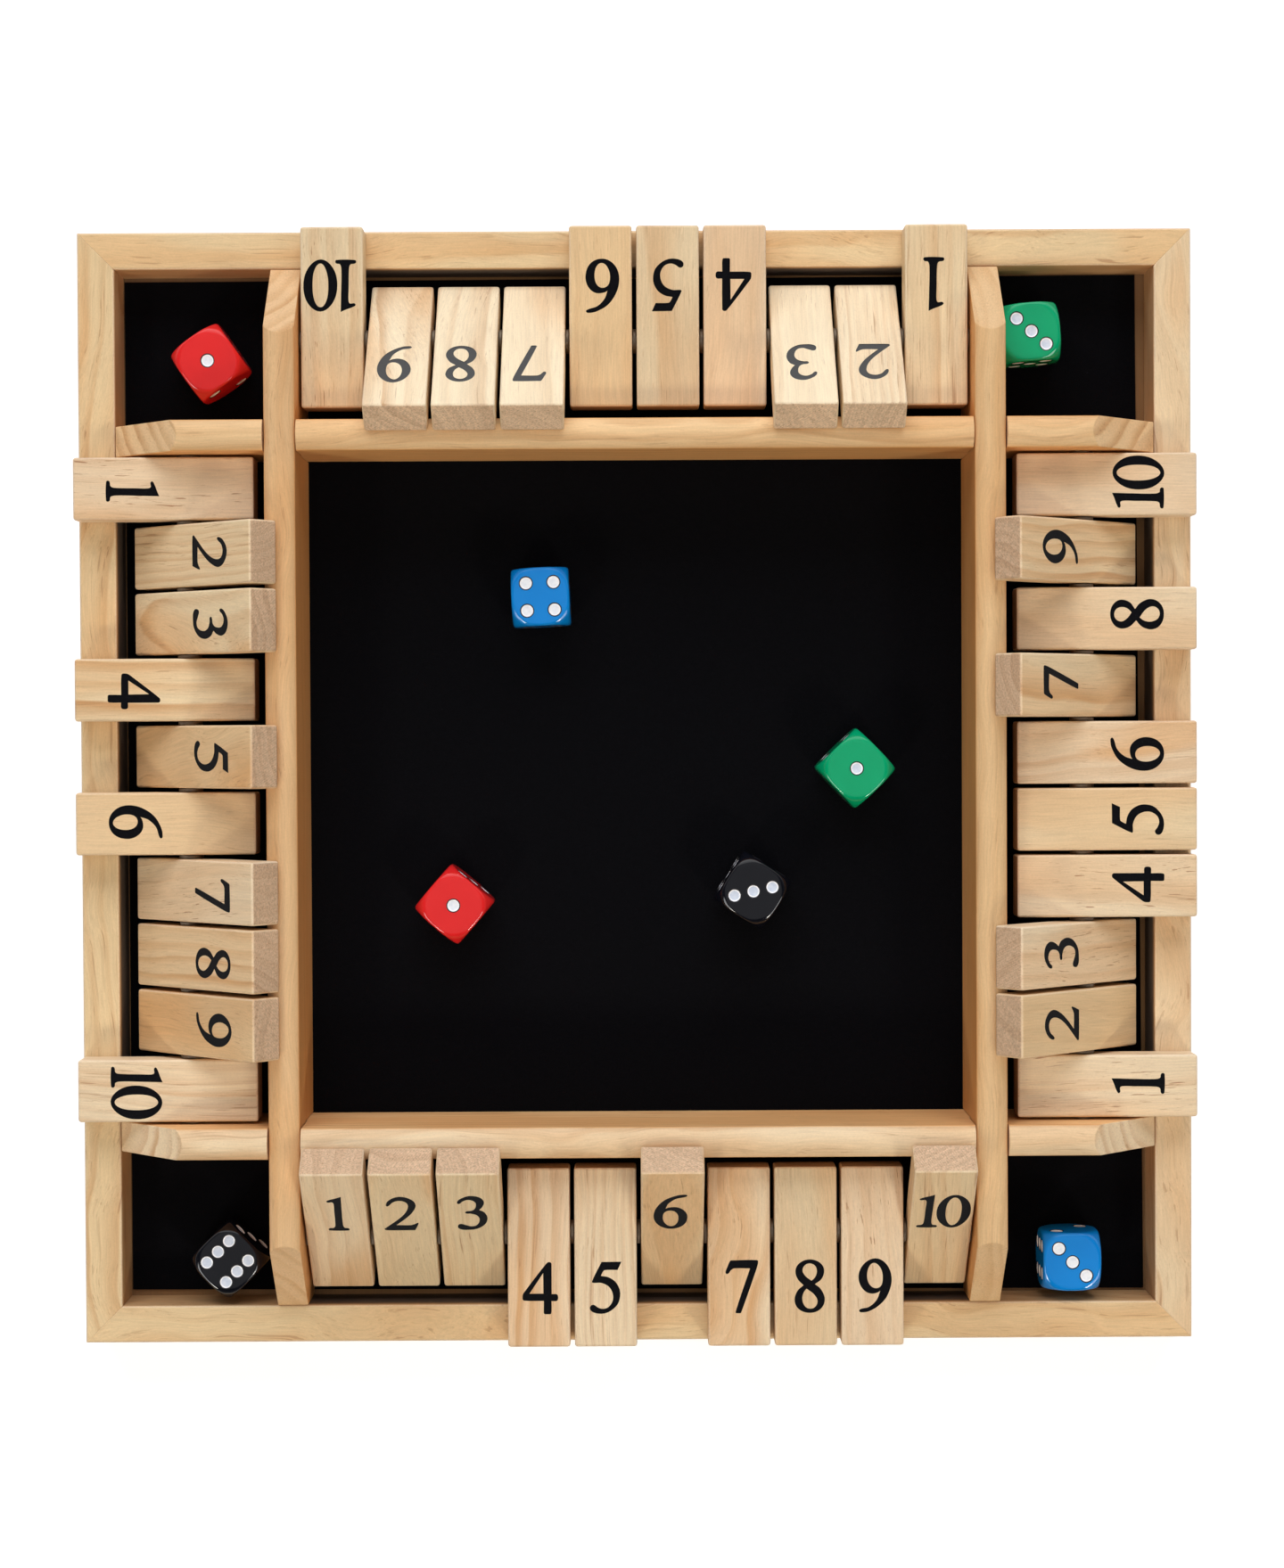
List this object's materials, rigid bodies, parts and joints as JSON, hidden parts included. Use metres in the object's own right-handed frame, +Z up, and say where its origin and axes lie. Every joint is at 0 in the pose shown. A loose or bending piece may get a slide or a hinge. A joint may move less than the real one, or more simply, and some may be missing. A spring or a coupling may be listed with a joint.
{
  "type": "shut the box game",
  "caption": "Square wooden board for a four-player dice game: a felt tray ringed by banks of flip tiles on rods, with corner pockets and loose dice.",
  "frame": {"origin": "middle of the underside, on the surface that the board stands on", "axes": "+Z up, +X to the right of the front player, +Y away from the front player towards the back player"},
  "size_m": [0.3048, 0.3048, 0.0467],
  "materials": {
    "frame_pine": "satin lacquered pine",
    "divider_pine": "satin lacquered pine",
    "tile_pine": "satin pine, printed numbers",
    "base_ply": "plain sanded plywood",
    "black_felt": "matt felt",
    "rod_steel": "bright drawn",
    "red_dice_plastic": "gloss, white pips",
    "green_dice_plastic": "gloss, white pips",
    "blue_dice_plastic": "gloss, white pips",
    "black_dice_plastic": "gloss, white pips"
  },
  "bodies": {
    "board": {"outer_frame": "frame_pine", "base_panel": "base_ply", "felt_lining": "black_felt", "front_divider": "divider_pine", "right_divider": "divider_pine", "back_divider": "divider_pine", "left_divider": "divider_pine", "front_rod": "rod_steel", "right_rod": "rod_steel", "back_rod": "rod_steel", "left_rod": "rod_steel"},
    "red_die_pocket": {"red_die_pocket": "red_dice_plastic"},
    "green_die_pocket": {"green_die_pocket": "green_dice_plastic"},
    "black_die_pocket": {"black_die_pocket": "black_dice_plastic"},
    "blue_die_pocket": {"blue_die_pocket": "blue_dice_plastic"},
    "blue_die_tray": {"blue_die_tray": "blue_dice_plastic"},
    "green_die_tray": {"green_die_tray": "green_dice_plastic"},
    "red_die_tray": {"red_die_tray": "red_dice_plastic"},
    "black_die_tray": {"black_die_tray": "black_dice_plastic"},
    "front_tile_1": {"front_tile_1": "tile_pine"},
    "right_tile_1": {"right_tile_1": "tile_pine"},
    "back_tile_1": {"back_tile_1": "tile_pine"},
    "left_tile_1": {"left_tile_1": "tile_pine"},
    "front_tile_2": {"front_tile_2": "tile_pine"},
    "right_tile_2": {"right_tile_2": "tile_pine"},
    "back_tile_2": {"back_tile_2": "tile_pine"},
    "left_tile_2": {"left_tile_2": "tile_pine"},
    "front_tile_3": {"front_tile_3": "tile_pine"},
    "right_tile_3": {"right_tile_3": "tile_pine"},
    "back_tile_3": {"back_tile_3": "tile_pine"},
    "left_tile_3": {"left_tile_3": "tile_pine"},
    "front_tile_4": {"front_tile_4": "tile_pine"},
    "right_tile_4": {"right_tile_4": "tile_pine"},
    "back_tile_4": {"back_tile_4": "tile_pine"},
    "left_tile_4": {"left_tile_4": "tile_pine"},
    "front_tile_5": {"front_tile_5": "tile_pine"},
    "right_tile_5": {"right_tile_5": "tile_pine"},
    "back_tile_5": {"back_tile_5": "tile_pine"},
    "left_tile_5": {"left_tile_5": "tile_pine"},
    "front_tile_6": {"front_tile_6": "tile_pine"},
    "right_tile_6": {"right_tile_6": "tile_pine"},
    "back_tile_6": {"back_tile_6": "tile_pine"},
    "left_tile_6": {"left_tile_6": "tile_pine"},
    "front_tile_7": {"front_tile_7": "tile_pine"},
    "right_tile_7": {"right_tile_7": "tile_pine"},
    "back_tile_7": {"back_tile_7": "tile_pine"},
    "left_tile_7": {"left_tile_7": "tile_pine"},
    "front_tile_8": {"front_tile_8": "tile_pine"},
    "right_tile_8": {"right_tile_8": "tile_pine"},
    "back_tile_8": {"back_tile_8": "tile_pine"},
    "left_tile_8": {"left_tile_8": "tile_pine"},
    "front_tile_9": {"front_tile_9": "tile_pine"},
    "right_tile_9": {"right_tile_9": "tile_pine"},
    "back_tile_9": {"back_tile_9": "tile_pine"},
    "left_tile_9": {"left_tile_9": "tile_pine"},
    "front_tile_10": {"front_tile_10": "tile_pine"},
    "right_tile_10": {"right_tile_10": "tile_pine"},
    "back_tile_10": {"back_tile_10": "tile_pine"},
    "left_tile_10": {"left_tile_10": "tile_pine"}
  },
  "joints": [
    {"name": "red_die_pocket_lift", "type": "slide", "parent": "board", "child": "red_die_pocket", "axis": [0, 0, 1], "range_m": [0, 0.06]},
    {"name": "green_die_pocket_lift", "type": "slide", "parent": "board", "child": "green_die_pocket", "axis": [0, 0, 1], "range_m": [0, 0.06]},
    {"name": "black_die_pocket_lift", "type": "slide", "parent": "board", "child": "black_die_pocket", "axis": [0, 0, 1], "range_m": [0, 0.06]},
    {"name": "blue_die_pocket_lift", "type": "slide", "parent": "board", "child": "blue_die_pocket", "axis": [0, 0, 1], "range_m": [0, 0.06]},
    {"name": "blue_die_tray_lift", "type": "slide", "parent": "board", "child": "blue_die_tray", "axis": [0, 0, 1], "range_m": [0, 0.06]},
    {"name": "green_die_tray_lift", "type": "slide", "parent": "board", "child": "green_die_tray", "axis": [0, 0, 1], "range_m": [0, 0.06]},
    {"name": "red_die_tray_lift", "type": "slide", "parent": "board", "child": "red_die_tray", "axis": [0, 0, 1], "range_m": [0, 0.06]},
    {"name": "black_die_tray_lift", "type": "slide", "parent": "board", "child": "black_die_tray", "axis": [0, 0, 1], "range_m": [0, 0.06]},
    {"name": "front_tile_1_flip", "type": "hinge", "parent": "board", "child": "front_tile_1", "pos_m": [0, -0.12139, 0.02299], "axis": [-1, 0, 0], "range_deg": [-137.94, 0]},
    {"name": "right_tile_1_flip", "type": "hinge", "parent": "board", "child": "right_tile_1", "pos_m": [0.12139, 0, 0.02299], "axis": [0, -1, 0], "range_deg": [0, 137.94]},
    {"name": "back_tile_1_flip", "type": "hinge", "parent": "board", "child": "back_tile_1", "pos_m": [0, 0.12139, 0.02299], "axis": [1, 0, 0], "range_deg": [0, 137.94]},
    {"name": "left_tile_1_flip", "type": "hinge", "parent": "board", "child": "left_tile_1", "pos_m": [-0.12139, 0, 0.02299], "axis": [0, 1, 0], "range_deg": [0, 137.94]},
    {"name": "front_tile_2_flip", "type": "hinge", "parent": "board", "child": "front_tile_2", "pos_m": [0, -0.12139, 0.02299], "axis": [-1, 0, 0], "range_deg": [-137.94, 0]},
    {"name": "right_tile_2_flip", "type": "hinge", "parent": "board", "child": "right_tile_2", "pos_m": [0.12139, 0, 0.02299], "axis": [0, -1, 0], "range_deg": [-137.94, 0]},
    {"name": "back_tile_2_flip", "type": "hinge", "parent": "board", "child": "back_tile_2", "pos_m": [0, 0.12139, 0.02299], "axis": [1, 0, 0], "range_deg": [-137.94, 0]},
    {"name": "left_tile_2_flip", "type": "hinge", "parent": "board", "child": "left_tile_2", "pos_m": [-0.12139, 0, 0.02299], "axis": [0, 1, 0], "range_deg": [-137.94, 0]},
    {"name": "front_tile_3_flip", "type": "hinge", "parent": "board", "child": "front_tile_3", "pos_m": [0, -0.12139, 0.02299], "axis": [-1, 0, 0], "range_deg": [-137.94, 0]},
    {"name": "right_tile_3_flip", "type": "hinge", "parent": "board", "child": "right_tile_3", "pos_m": [0.12139, 0, 0.02299], "axis": [0, -1, 0], "range_deg": [-137.94, 0]},
    {"name": "back_tile_3_flip", "type": "hinge", "parent": "board", "child": "back_tile_3", "pos_m": [0, 0.12139, 0.02299], "axis": [1, 0, 0], "range_deg": [-137.94, 0]},
    {"name": "left_tile_3_flip", "type": "hinge", "parent": "board", "child": "left_tile_3", "pos_m": [-0.12139, 0, 0.02299], "axis": [0, 1, 0], "range_deg": [-137.94, 0]},
    {"name": "front_tile_4_flip", "type": "hinge", "parent": "board", "child": "front_tile_4", "pos_m": [0, -0.12139, 0.02299], "axis": [-1, 0, 0], "range_deg": [0, 137.94]},
    {"name": "right_tile_4_flip", "type": "hinge", "parent": "board", "child": "right_tile_4", "pos_m": [0.12139, 0, 0.02299], "axis": [0, -1, 0], "range_deg": [0, 137.94]},
    {"name": "back_tile_4_flip", "type": "hinge", "parent": "board", "child": "back_tile_4", "pos_m": [0, 0.12139, 0.02299], "axis": [1, 0, 0], "range_deg": [0, 137.94]},
    {"name": "left_tile_4_flip", "type": "hinge", "parent": "board", "child": "left_tile_4", "pos_m": [-0.12139, 0, 0.02299], "axis": [0, 1, 0], "range_deg": [0, 137.94]},
    {"name": "front_tile_5_flip", "type": "hinge", "parent": "board", "child": "front_tile_5", "pos_m": [0, -0.12139, 0.02299], "axis": [-1, 0, 0], "range_deg": [0, 137.94]},
    {"name": "right_tile_5_flip", "type": "hinge", "parent": "board", "child": "right_tile_5", "pos_m": [0.12139, 0, 0.02299], "axis": [0, -1, 0], "range_deg": [0, 137.94]},
    {"name": "back_tile_5_flip", "type": "hinge", "parent": "board", "child": "back_tile_5", "pos_m": [0, 0.12139, 0.02299], "axis": [1, 0, 0], "range_deg": [0, 137.94]},
    {"name": "left_tile_5_flip", "type": "hinge", "parent": "board", "child": "left_tile_5", "pos_m": [-0.12139, 0, 0.02299], "axis": [0, 1, 0], "range_deg": [-137.94, 0]},
    {"name": "front_tile_6_flip", "type": "hinge", "parent": "board", "child": "front_tile_6", "pos_m": [0, -0.12139, 0.02299], "axis": [-1, 0, 0], "range_deg": [-137.94, 0]},
    {"name": "right_tile_6_flip", "type": "hinge", "parent": "board", "child": "right_tile_6", "pos_m": [0.12139, 0, 0.02299], "axis": [0, -1, 0], "range_deg": [0, 137.94]},
    {"name": "back_tile_6_flip", "type": "hinge", "parent": "board", "child": "back_tile_6", "pos_m": [0, 0.12139, 0.02299], "axis": [1, 0, 0], "range_deg": [0, 137.94]},
    {"name": "left_tile_6_flip", "type": "hinge", "parent": "board", "child": "left_tile_6", "pos_m": [-0.12139, 0, 0.02299], "axis": [0, 1, 0], "range_deg": [0, 137.94]},
    {"name": "front_tile_7_flip", "type": "hinge", "parent": "board", "child": "front_tile_7", "pos_m": [0, -0.12139, 0.02299], "axis": [-1, 0, 0], "range_deg": [0, 137.94]},
    {"name": "right_tile_7_flip", "type": "hinge", "parent": "board", "child": "right_tile_7", "pos_m": [0.12139, 0, 0.02299], "axis": [0, -1, 0], "range_deg": [-137.94, 0]},
    {"name": "back_tile_7_flip", "type": "hinge", "parent": "board", "child": "back_tile_7", "pos_m": [0, 0.12139, 0.02299], "axis": [1, 0, 0], "range_deg": [-137.94, 0]},
    {"name": "left_tile_7_flip", "type": "hinge", "parent": "board", "child": "left_tile_7", "pos_m": [-0.12139, 0, 0.02299], "axis": [0, 1, 0], "range_deg": [-137.94, 0]},
    {"name": "front_tile_8_flip", "type": "hinge", "parent": "board", "child": "front_tile_8", "pos_m": [0, -0.12139, 0.02299], "axis": [-1, 0, 0], "range_deg": [0, 137.94]},
    {"name": "right_tile_8_flip", "type": "hinge", "parent": "board", "child": "right_tile_8", "pos_m": [0.12139, 0, 0.02299], "axis": [0, -1, 0], "range_deg": [0, 137.94]},
    {"name": "back_tile_8_flip", "type": "hinge", "parent": "board", "child": "back_tile_8", "pos_m": [0, 0.12139, 0.02299], "axis": [1, 0, 0], "range_deg": [-137.94, 0]},
    {"name": "left_tile_8_flip", "type": "hinge", "parent": "board", "child": "left_tile_8", "pos_m": [-0.12139, 0, 0.02299], "axis": [0, 1, 0], "range_deg": [-137.94, 0]},
    {"name": "front_tile_9_flip", "type": "hinge", "parent": "board", "child": "front_tile_9", "pos_m": [0, -0.12139, 0.02299], "axis": [-1, 0, 0], "range_deg": [0, 137.94]},
    {"name": "right_tile_9_flip", "type": "hinge", "parent": "board", "child": "right_tile_9", "pos_m": [0.12139, 0, 0.02299], "axis": [0, -1, 0], "range_deg": [-137.94, 0]},
    {"name": "back_tile_9_flip", "type": "hinge", "parent": "board", "child": "back_tile_9", "pos_m": [0, 0.12139, 0.02299], "axis": [1, 0, 0], "range_deg": [-137.94, 0]},
    {"name": "left_tile_9_flip", "type": "hinge", "parent": "board", "child": "left_tile_9", "pos_m": [-0.12139, 0, 0.02299], "axis": [0, 1, 0], "range_deg": [-137.94, 0]},
    {"name": "front_tile_10_flip", "type": "hinge", "parent": "board", "child": "front_tile_10", "pos_m": [0, -0.12139, 0.02299], "axis": [-1, 0, 0], "range_deg": [-137.94, 0]},
    {"name": "right_tile_10_flip", "type": "hinge", "parent": "board", "child": "right_tile_10", "pos_m": [0.12139, 0, 0.02299], "axis": [0, -1, 0], "range_deg": [0, 137.94]},
    {"name": "back_tile_10_flip", "type": "hinge", "parent": "board", "child": "back_tile_10", "pos_m": [0, 0.12139, 0.02299], "axis": [1, 0, 0], "range_deg": [0, 137.94]},
    {"name": "left_tile_10_flip", "type": "hinge", "parent": "board", "child": "left_tile_10", "pos_m": [-0.12139, 0, 0.02299], "axis": [0, 1, 0], "range_deg": [0, 137.94]}
  ]
}
